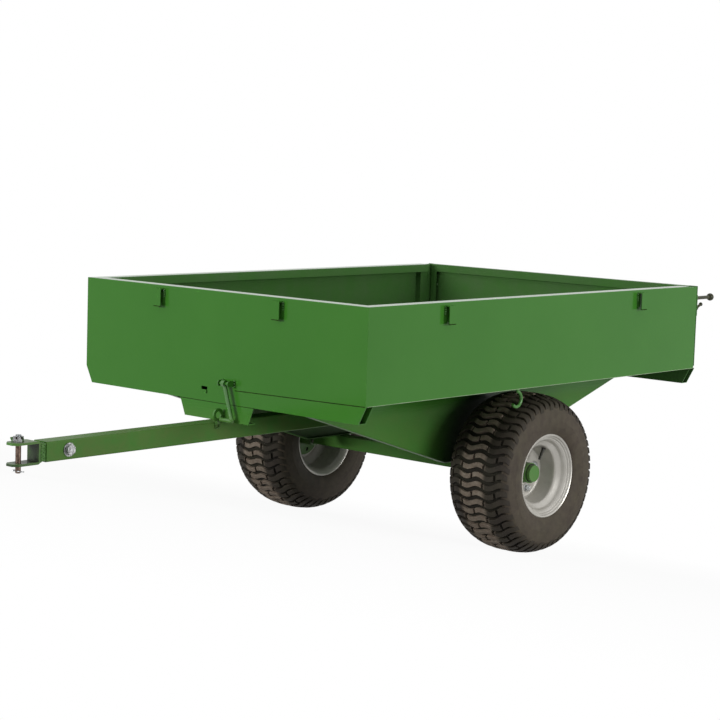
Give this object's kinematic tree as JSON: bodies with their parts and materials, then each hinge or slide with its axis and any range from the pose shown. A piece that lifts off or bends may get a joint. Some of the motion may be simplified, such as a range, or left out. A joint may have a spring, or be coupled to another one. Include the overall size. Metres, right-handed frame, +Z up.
{
  "type": "lawn tractor trailer",
  "caption": "Two-wheeled steel tipping trailer for a lawn tractor, with an open tub, a hinged tailgate and a square drawbar with a clevis hitch.",
  "frame": {"origin": "middle of the bounding box at the level of the floor it is parked on, tyres and hitch pin resting on z = 0", "axes": "+X towards the hitch, along the ground; +Y to the trailer's left side; +Z up. The trailer is parked nose down by 12.5 degrees."},
  "size_m": [2.2013, 1.107, 0.8838],
  "materials": {
    "green_paint": "glossy green powder coat on steel",
    "rim_paint": "satin silver-grey paint on pressed steel",
    "tyre_rubber": "dull black rubber",
    "zinc_plate": "bright zinc plating",
    "bare_steel": "bare turned steel",
    "dark_steel": "browned bare steel"
  },
  "bodies": {
    "drawbar": {"drawbar_tube": "green_paint", "drawbar_bush": "green_paint", "hitch_neck": "green_paint", "hitch_clevis": "green_paint", "hitch_bolt": "zinc_plate", "hitch_pin": "dark_steel", "hitch_pin_nut": "zinc_plate", "hitch_pin_clip": "dark_steel", "latch_eye": "green_paint"},
    "tub": {"floor_panel": "green_paint", "left_side_wall": "green_paint", "right_side_wall": "green_paint", "front_wall": "green_paint", "front_channel": "green_paint", "rear_channel": "green_paint", "left_rear_post": "green_paint", "right_rear_post": "green_paint", "left_v_plate": "green_paint", "right_v_plate": "green_paint", "axle_beam": "green_paint", "left_stub_axle": "bare_steel", "right_stub_axle": "bare_steel", "pivot_shaft": "bare_steel", "pivot_collars": "bare_steel", "drawbar_saddle": "green_paint", "latch_lugs": "green_paint", "front_tie_hooks": "green_paint", "left_tie_hooks": "green_paint", "right_tie_hooks": "green_paint", "rope_hooks": "green_paint", "tailgate_hinge_seats": "green_paint", "tailgate_hinge_pins": "bare_steel"},
    "left_wheel": {"left_tyre": "tyre_rubber", "left_rim": "rim_paint", "left_hub": "green_paint", "left_hub_cap": "green_paint"},
    "right_wheel": {"right_tyre": "tyre_rubber", "right_rim": "rim_paint", "right_hub": "green_paint", "right_hub_cap": "green_paint"},
    "tailgate": {"tailgate_panel": "green_paint", "tailgate_hinge_leaves": "green_paint", "tailgate_latches": "green_paint"},
    "latch_lever": {"latch_lever": "green_paint"}
  },
  "joints": [
    {"name": "tub_tip", "type": "hinge", "parent": "drawbar", "child": "tub", "pos_m": [-0.36697, 0, 0.36521], "axis": [0, -1, 0], "range_deg": [0, 35]},
    {"name": "left_wheel_spin", "type": "hinge", "parent": "tub", "child": "left_wheel", "pos_m": [-0.39715, 0.4287, 0.2286], "axis": [0, 1, 0], "continuous": true},
    {"name": "right_wheel_spin", "type": "hinge", "parent": "tub", "child": "right_wheel", "pos_m": [-0.39715, -0.4287, 0.2286], "axis": [0, 1, 0], "continuous": true},
    {"name": "tailgate_hinge", "type": "hinge", "parent": "tub", "child": "tailgate", "pos_m": [-1.04609, 0, 0.64273], "axis": [0, -1, 0], "range_deg": [0, 180]},
    {"name": "latch_lever_swing", "type": "hinge", "parent": "tub", "child": "latch_lever", "pos_m": [0.46003, 0.0475, 0.31667], "axis": [0, -1, 0], "range_deg": [0, 110]}
  ]
}
